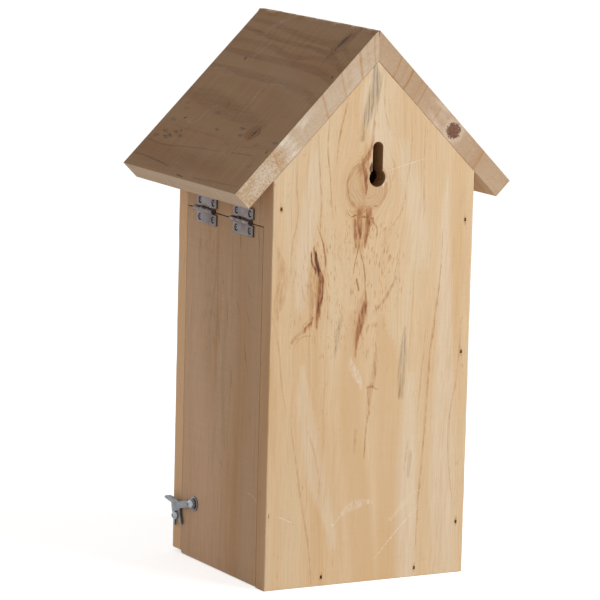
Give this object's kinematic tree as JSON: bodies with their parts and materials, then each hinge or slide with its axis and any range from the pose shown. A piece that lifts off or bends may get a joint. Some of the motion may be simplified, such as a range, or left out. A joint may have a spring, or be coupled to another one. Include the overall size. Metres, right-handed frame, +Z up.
{
  "type": "bird nest box",
  "caption": "Wooden bird nest box with a pitched roof, entrance hole, keyhole back for wall hanging, and a side clean-out door on hinges with a hook latch.",
  "frame": {"origin": "on the ground, below the middle of the roof: the middle of the bounding box's underside", "axes": "+Z up; +Y out of the back panel, towards the wall it hangs on; -Y out of the entrance hole; +X out of the side that has the door"},
  "size_m": [0.1712, 0.135, 0.3045],
  "materials": {
    "wall_pine": "planed bare pine, matt",
    "side_pine": "planed bare pine, matt",
    "roof_pine": "sawn and planed bare pine, matt",
    "zinc_plate": "zinc plated sheet steel, satin",
    "screw_zinc": "bright zinc plated steel",
    "brad_steel": "dulled bright steel brads"
  },
  "bodies": {
    "box": {"back_panel": "wall_pine", "front_panel": "wall_pine", "fixed_side_panel": "side_pine", "door_header": "side_pine", "floor_panel": "wall_pine", "roof_board_left": "roof_pine", "roof_board_right": "roof_pine", "front_hinge_fixed_leaf": "zinc_plate", "front_hinge_pin": "zinc_plate", "rear_hinge_fixed_leaf": "zinc_plate", "rear_hinge_pin": "zinc_plate", "header_hinge_screws": "screw_zinc", "latch_keeper_screw": "screw_zinc", "back_panel_brads": "brad_steel", "front_panel_brads": "brad_steel", "roof_left_brads": "brad_steel", "roof_right_brads": "brad_steel"},
    "door": {"door_panel": "side_pine", "front_hinge_door_leaf": "zinc_plate", "rear_hinge_door_leaf": "zinc_plate", "door_hinge_screws": "screw_zinc", "latch_washer": "zinc_plate", "latch_pivot_screw": "screw_zinc"},
    "hook": {"latch_hook": "zinc_plate"}
  },
  "joints": [
    {"name": "door_swing", "type": "hinge", "parent": "box", "child": "door", "pos_m": [0.0642, 0.0115, 0.1993], "axis": [0, -1, 0], "range_deg": [0, 110]},
    {"name": "hook_swing", "type": "hinge", "parent": "door", "child": "hook", "pos_m": [0.0645, -0.01641, 0.03193], "axis": [-1, 0, 0], "range_deg": [0, 120]}
  ]
}
